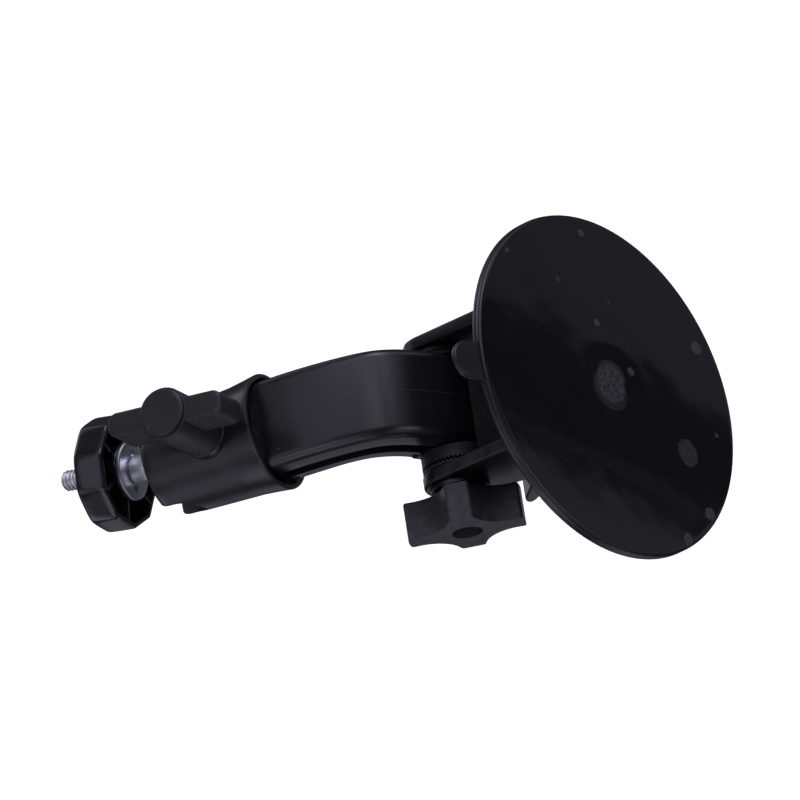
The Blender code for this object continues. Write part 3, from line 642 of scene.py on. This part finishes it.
place_piece(make_star(), m_star, "star", "star_knob")

# ---------------------------------------------------------------- lever


def make_lever():
    ex = 1.32
    cam_x, cam_y = ex * math.cos(math.radians(207)), ex * math.sin(math.radians(207))
    lean = Vector((-math.sin(math.radians(LEVER_LEAN)), -math.cos(math.radians(LEVER_LEAN))))
    across = Vector((lean.y, -lean.x))
    base_angle = math.degrees(math.atan2(lean.y, lean.x))
    pts = arc(CAM_R, cam_x, cam_y, base_angle + 50, base_angle + 310, 90)
    for along, off in ((16.0, -2.9), (LEVER_LEN - 3.0, -2.2), (LEVER_LEN, -1.0), (LEVER_LEN, 1.0),
                       (LEVER_LEN - 3.0, 2.0), (16.0, 2.4)):
        pts.append(tuple(lean * along - across * off))
    pts = soften(pts, 0.5, 6)
    lever = prism("lever", pts, -LEVER_HALF, LEVER_HALF, PIN, edge=0.8)
    steps = [('DIFFERENCE', rod("slot", 12.0, -4.6, 4.6, 96, PIN)),
             ('DIFFERENCE', rod("bore", 1.8, -14, 14, 40, PIN))]
    for k in range(5):
        spot = lean * (27.0 + 3.4 * k)
        side = Matrix.Translation((LEVER_X, 0, LEVER_Z)) @ SIDE @ Matrix.Translation((*(spot - across * -2.55), 0))
        steps.append(('DIFFERENCE', rod("grip", 0.75, -7.0, 7.0, 24, side)))
    return combine(lever, steps)


place_piece(make_lever(), m_lever, "lever", "cam_lever")

# ---------------------------------------------------------------- arm
ARM_OUTER = [(PIVOT_X, PIVOT_Z + KNUCKLE_R), (40, -26.6), (48, -28.2), (56, -30.8), (63, -35.8), (69, -45.5),
             (74.2, -58), (77.6, -69.4)]
ARM_INNER = [(PIVOT_X, PIVOT_Z - KNUCKLE_R), (37, -46.7), (41.6, -47.5), (46.4, -49.7), (50.5, -53.2),
             (53.7, -58.7), (56.3, -65.9), (59.0, -74.2)]
PATH_STEPS = 12


def make_arm():
    outer, inner = smooth_path(ARM_OUTER, PATH_STEPS), smooth_path(ARM_INNER, PATH_STEPS)
    sink = Vector((DOWN.x, DOWN.z)) * 3.2
    outline = arc(KNUCKLE_R, PIVOT_X, PIVOT_Z, 90, 270, 48)[:-1] + inner
    outline += [tuple(Vector(inner[-1]) + sink), tuple(Vector(outer[-1]) + sink)]
    outline += list(reversed(outer))[:-1]
    arm = prism("arm_shell", outline, -ARM_HALF, ARM_HALF, SIDE, edge=ARM_EDGE, edge_segs=8)
    steps = []
    last = len(outer) - 1
    first = int(1.5 * PATH_STEPS)
    pairs = list(zip(outer, inner))[first:last]
    for side in (1, -1):
        for start, stop, depth in ((0.40, 0.66, 2.6), (0.72, 1.25, 1.2)):
            near = [tuple(Vector(a).lerp(Vector(b), start)) for a, b in pairs]
            far = [tuple(Vector(a).lerp(Vector(b), stop)) for a, b in pairs]
            low, high = sorted((side * (ARM_HALF - depth), side * (ARM_HALF + 3)))
            band = near + list(reversed(far))
            steps.append(('DIFFERENCE', prism("band", band, low, high, SIDE, edge=0.0)))
    seam_out, seam_in = [], []
    for i in range(6, last + 1):
        a = Vector(outer[i])
        d = (Vector(outer[min(i + 1, last)]) - Vector(outer[max(i - 1, 0)])).normalized()
        n = Vector((-d.y, d.x))
        seam_out.append(tuple(a + n * 0.09))
        seam_in.append(tuple(a - n * 0.5))
    steps.append(('UNION', prism("seam", seam_out + list(reversed(seam_in)), -0.17, 0.17, SIDE)))
    steps.append(('UNION', rod("spigot", 9.0, 2.0, 10.4, 96, BARREL, edge=0.5)))
    steps.append(('DIFFERENCE', rod("bore", BOLT_R + 0.3, -20, 20, 64, HINGE)))
    return combine(arm, steps, angle=28.0)


place_piece(make_arm(), m_arm, "arm", "arm")

# ---------------------------------------------------------------- socket barrel


def make_barrel():
    wall = []
    for r0, z0, r1, z1, count in ((17.9, 0.4, 17.6, 2.5, 3), (17.6, 2.5, 17.25, 5.0, 3), (17.25, 5.0, 16.7, 9.5, 5),
                                  (16.7, 9.5, BARREL_R, 20.0, 10), (BARREL_R, 20.0, MOUTH_R, 36.2, 12)):
        wall += [(r0 + (r1 - r0) * i / count, z0 + (z1 - z0) * i / count) for i in range(1, count + 1)]
    profile = [(16.4, 0.3), (16.5, 0.1), (16.75, 0.0), (17.45, 0.0), (17.72, 0.1), (17.88, 0.25), (17.9, 0.4)] + wall
    profile += [(MOUTH_R - 0.15, 37.1), (MOUTH_R - 0.4, 37.8), (MOUTH_R - 0.75, 38.35), (MOUTH_R - 1.2, BARREL_LEN),
                (9.9, BARREL_LEN),
                (9.6, 38.3), (9.6, 34.4), (BORE_R, 34.4), (BORE_R, 11.0), (9.3, 11.0), (9.3, 3.8), (16.4, 3.8)]
    barrel = lathe("barrel", profile, 176, BARREL)
    turn = math.radians(NOTCH_TURN)
    notch_dir = Vector((0, 1, 0)) * math.cos(turn) + OUT * math.sin(turn)
    notch = placed(ARM_END + DOWN * BARREL_LEN, notch_dir, DOWN)
    slot = rounded_rect(NOTCH_DEPTH, NOTCH_HALF, NOTCH_HALF - 0.01, 24)
    steps = [('UNION', rod("boss", BOSS_SEAT_R, 11.9, 18.2, 128, TEE, edge=0.4)),
             ('DIFFERENCE', rod("screw_bore", 3.3, 5.0, 22.0, 64, TEE)),
             ('DIFFERENCE', prism("notch", slot, 6.0, 24.0, notch))]
    return combine(barrel, steps)


place_piece(make_barrel(), m_barrel, "arm", "socket_barrel")

# ---------------------------------------------------------------- wing clamp knob


def make_wing():
    hub = lathe("wing", rounded_profile([
        (0, TEE_BASE), (TEE_HUB_R - 0.5, TEE_BASE), (TEE_HUB_R, TEE_BASE + 0.6), (TEE_HUB_R, TEE_FACE - 1.5),
        (TEE_HUB_R - 0.15, TEE_FACE - 0.9), (0, TEE_FACE - 0.9)], 0.35), 144, TEE)
    spin = Matrix.Rotation(math.radians(-WING_TURN), 4, 'Z')
    bar = prism("bar", rounded_rect(WING_LEN / 2, WING_H / 2, 3.0, 10), TEE_FACE - 1.2 - WING_DEPTH, TEE_FACE - 1.2,
                TEE @ spin, edge=1.0, edge_segs=5)
    steps = [('UNION', bar),
             ('DIFFERENCE', rod("bore", 3.25, 15.0, 33.0, 48, TEE)),
             ('DIFFERENCE', rod("cap_socket", 3.3, 36.0, 45.0, 48, TEE))]
    return combine(hub, steps)


place_piece(make_wing(), m_tee, "wing", "wing_knob")
cap = lathe("cap", rounded_profile([
    (0, 36.4), (3.0, 36.4), (3.0, TEE_FACE - 0.6), (7.0, TEE_FACE - 0.6), (7.3, TEE_FACE - 0.3),
    (7.3, TEE_FACE - 0.05), (6.9, TEE_FACE + 0.28), (6.3, TEE_FACE + 0.4), (5.2, TEE_FACE + 0.34),
    (3.0, TEE_FACE + 0.3), (0, TEE_FACE + 0.28)], 0.2), 144, TEE)
place_piece(cap, m_cap, "wing", "wing_cap")

# ---------------------------------------------------------------- stud and flange
THREAD_START = WHEEL_BACK + WHEEL_T - 1.0


def make_stud():
    """Plain shank with a stepped neck and a cut helical thread with a chamfered tip."""
    segs, per_pitch = 72, 14
    rows = []
    for r, z in ((4.0, -1.7), (SHANK_R - 0.1, -1.5), (SHANK_R, -1.3), (SHANK_R, 4.0), (SHANK_R, 11.0), (SHANK_R, 16.9),
                 (SHANK_R - 0.15, 17.3), (SHANK_R - 0.5, 17.7), (2.95, 17.7), (2.95, THREAD_START - 1.4),
                 (THREAD_ROOT + 0.1, THREAD_START - 0.9)):
        rows.append([(r, z)] * segs)
    z, step = THREAD_START - 0.6, THREAD_PITCH / per_pitch
    while z < STUD_LEN - 0.25:
        row = []
        for i in range(segs):
            phase = (z / THREAD_PITCH - i / segs) % 1.0
            crest = max(0.0, min(1.0, (0.5 - abs(phase - 0.5)) * 2.6 - 0.15))
            fade_in = max(0.0, min(1.0, (z - THREAD_START) / 0.9))
            tip = max(0.0, STUD_LEN - 0.1 - z)
            r = THREAD_ROOT + (THREAD_R - THREAD_ROOT) * crest * fade_in
            row.append((min(r, THREAD_ROOT - 0.35 + tip * 1.0), z))
        rows.append(row)
        z += step
    rows.append([(THREAD_ROOT - 0.4, STUD_LEN - 0.12)] * segs)
    rows.append([(THREAD_ROOT - 0.7, STUD_LEN)] * segs)
    bm = bmesh.new()
    grid = []
    for row in rows:
        grid.append([bm.verts.new((r * math.cos(math.tau * i / segs), r * math.sin(math.tau * i / segs), z))
                     for i, (r, z) in enumerate(row)])
    for a, b in zip(grid, grid[1:]):
        for i in range(segs):
            k = (i + 1) % segs
            bm.faces.new((a[i], a[k], b[k], b[i]))
    bm.faces.new(list(reversed(grid[0])))
    bm.faces.new(grid[-1])
    return to_object(bm, "stud", STUD, 48.0)


place_piece(make_stud(), m_thread, "stud", "ball_stud")


def make_flange():
    disc = lathe("flange", rounded_profile([(3.4, 18.0), (8.6, 18.0), (9.0, 18.3), (9.0, 19.4), (3.4, 19.4)], 0.15),
                 144, STUD)
    steps = []
    for a in (78.0, 258.0):
        slot = STUD @ Matrix.Rotation(math.radians(a), 4, 'Z') @ Matrix.Translation((5.6, 0, 0))
        steps.append(('DIFFERENCE', prism("keyway", rounded_rect(1.5, 1.0, 0.9, 6), 17.0, 18.7, slot)))
    return combine(disc, steps)


place_piece(make_flange(), m_zinc, "stud", "stud_flange")

# ---------------------------------------------------------------- lock wheel


def wheel_skin(low, high, segs=240):
    """Ten-sided at the open back, easing to nearly round at the front."""
    side = WHEEL_R * math.cos(math.pi / WHEEL_SIDES)
    bm = bmesh.new()
    rows = []
    for z, inset in ((low, 0.6), (low + 0.12, 0.3), (low + 0.35, 0.1), (low + 0.7, 0.0), (low + 2.5, 0.0),
                     (low + 4.5, 0.0), (low + 6.5, 0.0), (high - 1.2, 0.0), (high - 0.6, 0.12),
                     (high - 0.25, 0.35), (high, 0.8)):
        share = (z - low) / (high - low)
        power = 150.0 * (26.0 / 150.0) ** share
        row = []
        for i in range(segs):
            a = math.tau * i / segs
            total = sum(max(0.0, math.cos(a - math.tau * (k + 0.5) / WHEEL_SIDES)) ** power
                        for k in range(WHEEL_SIDES))
            r = side * (1.0 + 0.022 * share) / total ** (1.0 / power) - inset
            row.append(bm.verts.new((r * math.cos(a), r * math.sin(a), z)))
        rows.append(row)
    for lower, upper in zip(rows, rows[1:]):
        for i in range(segs):
            bm.faces.new((lower[i - 1], lower[i], upper[i], upper[i - 1]))
    bm.faces.new(list(reversed(rows[0])))
    bm.faces.new(rows[-1])
    return to_object(bm, "wheel", WHEEL, 40.0)


def make_wheel():
    front = WHEEL_BACK + WHEEL_T
    wheel = wheel_skin(WHEEL_BACK, front)
    inner = circle(WHEEL_R - WHEEL_WALL, WHEEL_SIDES)
    steps = [('DIFFERENCE', prism("hollow", inner, WHEEL_BACK - 1, front - 2, WHEEL, corner=0.8))]
    hub = lathe("hub", rounded_profile([(0, WHEEL_BACK + 0.3), (8.2, WHEEL_BACK + 0.3), (8.2, front - 1),
                                        (0, front - 1)], 0.4), 128, WHEEL)
    steps.append(('UNION', hub))
    for i in range(RIBS // 2):
        turn = WHEEL @ Matrix.Rotation(math.radians(7.0 + 180.0 * i / (RIBS // 2)), 4, 'Z')
        bar = rounded_rect(WHEEL_R - WHEEL_WALL + 0.5, 0.5, 0.2, 3)
        steps.append(('UNION', prism("rib", bar, WHEEL_BACK + 0.9 + 0.05 * i, front - 1.05 - 0.05 * i, turn,
                                     edge=0.18, edge_segs=2)))
    steps.append(('DIFFERENCE', prism("nut_pocket", circle(6.4, 6), WHEEL_BACK - 2, 25.9, WHEEL)))
    steps.append(('DIFFERENCE', rod("bore", 3.6, 22, 40, 72, WHEEL)))
    return combine(wheel, steps, angle=24.0)


place_piece(make_wheel(), m_wheel, "wheel", "lock_wheel")

# ---------------------------------------------------------------- CAD nodes that keep their shape
carried = {
    "wear_plate": m_acetal, "plunger": m_steel, "lever_pin": m_steel, "cup_spring": m_spring,
    "friction_washer": m_rubber, "spacer_washer": m_shaded_nylon, "pivot_bolt": m_steel, "pivot_washer": m_dark_steel,
    "pivot_nut": m_zinc, "ball_liner": m_shaded_nylon, "seat_block": m_acetal, "pressure_shoe": m_steel,
    "clamp_screw": m_zinc, "ball": m_zinc, "wheel_nut": m_zinc, "front_pad": m_rubber,
}
for node, mat in carried.items():
    for slot_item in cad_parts[node].material_slots:
        slot_item.material = mat

# ---------------------------------------------------------------- floor, light, camera
FLOOR_Z = -700.0
floor_bm = bmesh.new()
half = 9000.0
for k in range(24):
    a = math.tau * k / 24
    floor_bm.verts.new((half * math.cos(a), half * math.sin(a), FLOOR_Z))
floor_bm.faces.new(floor_bm.verts)
floor = to_object(floor_bm, "floor", IDENT)
if floor.data.polygons[0].normal.z < 0:
    floor.data.flip_normals()
white = Graph("floor_paper")
paper = white.ramp(white.noise(400.0, 3.0), 0.3, 0.7, 0.93, 0.96)
tone = white.mix(paper, (0.9, 0.9, 0.9), (0.96, 0.96, 0.96))
white.set(Base_Color=tone, Roughness=0.9, Emission_Color=(1.0, 1.0, 1.0), Emission_Strength=0.75)
floor.data.materials.append(white.mat)

CAM_RIGHT = Vector((-0.6949646540, 0.1430722636, 0.7046662026))
CAM_UP = Vector((0.1636749103, -0.9228006693, 0.3487828098))
CAM_BACK = Vector((0.7001675895, 0.3577279023, 0.6178965079))
CAM_PLACE = (-61.724, -4.565, 3001.16)
LENS = 456.342

cam_data = bpy.data.cameras.new("camera")
cam_data.lens = LENS
cam_data.sensor_width = 36.0
cam_data.clip_start, cam_data.clip_end = 0.01, 60.0
camera = bpy.data.objects.new("camera", cam_data)
bpy.context.scene.collection.objects.link(camera)
spot = (CAM_RIGHT * CAM_PLACE[0] + CAM_UP * CAM_PLACE[1] + CAM_BACK * CAM_PLACE[2]) * MM
camera.matrix_world = Matrix.Translation(spot) @ Matrix((CAM_RIGHT, CAM_UP, CAM_BACK)).transposed().to_4x4()
bpy.context.scene.camera = camera


floor.visible_diffuse = False
floor.visible_glossy = False

MIDDLE = Vector((30.0, 0.0, -45.0)) * MM
LIGHT_FAR = 2.2
TINT = (0.98, 0.94, 1.16)


def softbox(name, towards, size_x, size_y, radiance, x_axis=(0.0, 0.0, 1.0), colour=TINT):
    """Area light LIGHT_FAR metres from the object's middle in a row-frame direction, facing it."""
    towards = Vector(towards).normalized()
    data = bpy.data.lights.new(name, 'AREA')
    data.shape = 'RECTANGLE'
    data.size, data.size_y = size_x, size_y
    data.energy = radiance * math.pi * size_x * size_y
    data.color = colour
    lamp = bpy.data.objects.new(name, data)
    lamp.matrix_world = placed(MIDDLE + towards * LIGHT_FAR, towards, x_axis)
    bpy.context.scene.collection.objects.link(lamp)
    return lamp


def from_camera(azimuth, elevation):
    """Direction azimuth degrees to the right of the camera and elevation degrees above it."""
    a, e = math.radians(azimuth), math.radians(elevation)
    return CAM_RIGHT * math.sin(a) * math.cos(e) + CAM_UP * math.sin(e) + CAM_BACK * math.cos(a) * math.cos(e)


BOX_SIZE = 0.95
STUDIO = (("overhead", 0, 80, 4.6), ("right_front", 45, 2, 2.1), ("left_rim", -120, 27, 1.8),
          ("floor_left", -110, -62, 1.4), ("floor_right", 120, -62, 1.35), ("low_front", -35, -28, 1.8),
          ("high_right", 25, 52, 1.25), ("high_left", -45, 52, 1.25), ("right_back", 160, 2, 1.2),
          ("floor_front", -30, -62, 1.5), ("floor_back", 172, -41, 0.35), ("high_far_right", 100, 58, 0.8), ("left_front", -50, 2, 0.9),
          ("low_left", -70, -28, 0.8), ("left_back", -150, 2, 0.8), ("low_right", 35, -28, 0.75),
          ("left_side", -110, 2, 0.7), ("high_back", -130, 52, 0.6), ("right_side", 75, 2, 0.45),
          ("low_far_left", -110, -28, 0.4), ("high_middle", -10, 52, 0.25), ("arm_key", -12, 38, 1.2), ("arm_left", -46, 30, 0.7), ("arm_far_left", -70, 25, 0.2), ("low_far_right", 80, -28, 0.25))
for label, azimuth, elevation, radiance in STUDIO:
    softbox(label, from_camera(azimuth, elevation), BOX_SIZE, BOX_SIZE, radiance)

# Dim panels that the glossy pad mirrors, with a dark gap between them.
SLANT = Vector((0.2, 0.98, 0.0)).normalized()
PANEL_FAR = 3.0


def mirrored(share, side=0.0):
    """Where the domed pad's mirror ray arrives, from a point at shares of its radius along and across SLANT."""
    p = (SLANT * share + Vector((-SLANT.y, SLANT.x, 0.0)) * side) * CUP_R * MM
    v = (spot - p).normalized()
    n = (Vector((0.0, 0.0, 1.0)) + p / (CUP_R * MM) * (2 * PAD_DOME / CUP_R)).normalized()
    return p + (n * (2 * n.dot(v)) - v) * PANEL_FAR


def panel(name, start, stop, radiance, width=2.2):
    """Strip light whose two long edges the pad shows at shares start and stop of its radius."""
    a, b = mirrored(start), mirrored(stop)
    edge = (mirrored(start, 0.5) - mirrored(start, -0.5)).normalized()
    across = (b - a) - edge * edge.dot(b - a)
    away = across.cross(edge).normalized()
    if away.dot(a) < 0:
        away = -away
    lamp = softbox(name, away, across.length, width, radiance)
    lamp.matrix_world = placed(a + across / 2, away, across)


panel("pad_upper", -0.21, -4.5, 0.125)
panel("pad_lower", 0.7, 5.0, 0.2)
panel("pad_line", 0.53, 0.538, 0.7)

world = bpy.data.worlds.new("studio")
bpy.context.scene.world = world
world.use_nodes = True
tree = world.node_tree
tree.nodes.clear()
out = tree.nodes.new("ShaderNodeOutputWorld")
seen, lit = tree.nodes.new("ShaderNodeBackground"), tree.nodes.new("ShaderNodeBackground")
seen.inputs[0].default_value = (1.0, 1.0, 1.0, 1.0)
seen.inputs[1].default_value = 1.0
lit.inputs[0].default_value = (*TINT, 1.0)
lit.inputs[1].default_value = 0.06
path = tree.nodes.new("ShaderNodeLightPath")
pick = tree.nodes.new("ShaderNodeMixShader")
tree.links.new(path.outputs["Is Camera Ray"], pick.inputs[0])
tree.links.new(lit.outputs[0], pick.inputs[1])
tree.links.new(seen.outputs[0], pick.inputs[2])
tree.links.new(pick.outputs[0], out.inputs[0])

bpy.context.scene.view_settings.view_transform = 'Standard'
bpy.context.scene.view_settings.look = 'None'
bpy.context.scene.view_settings.exposure = 0.0
bpy.context.scene.view_settings.gamma = 1.0
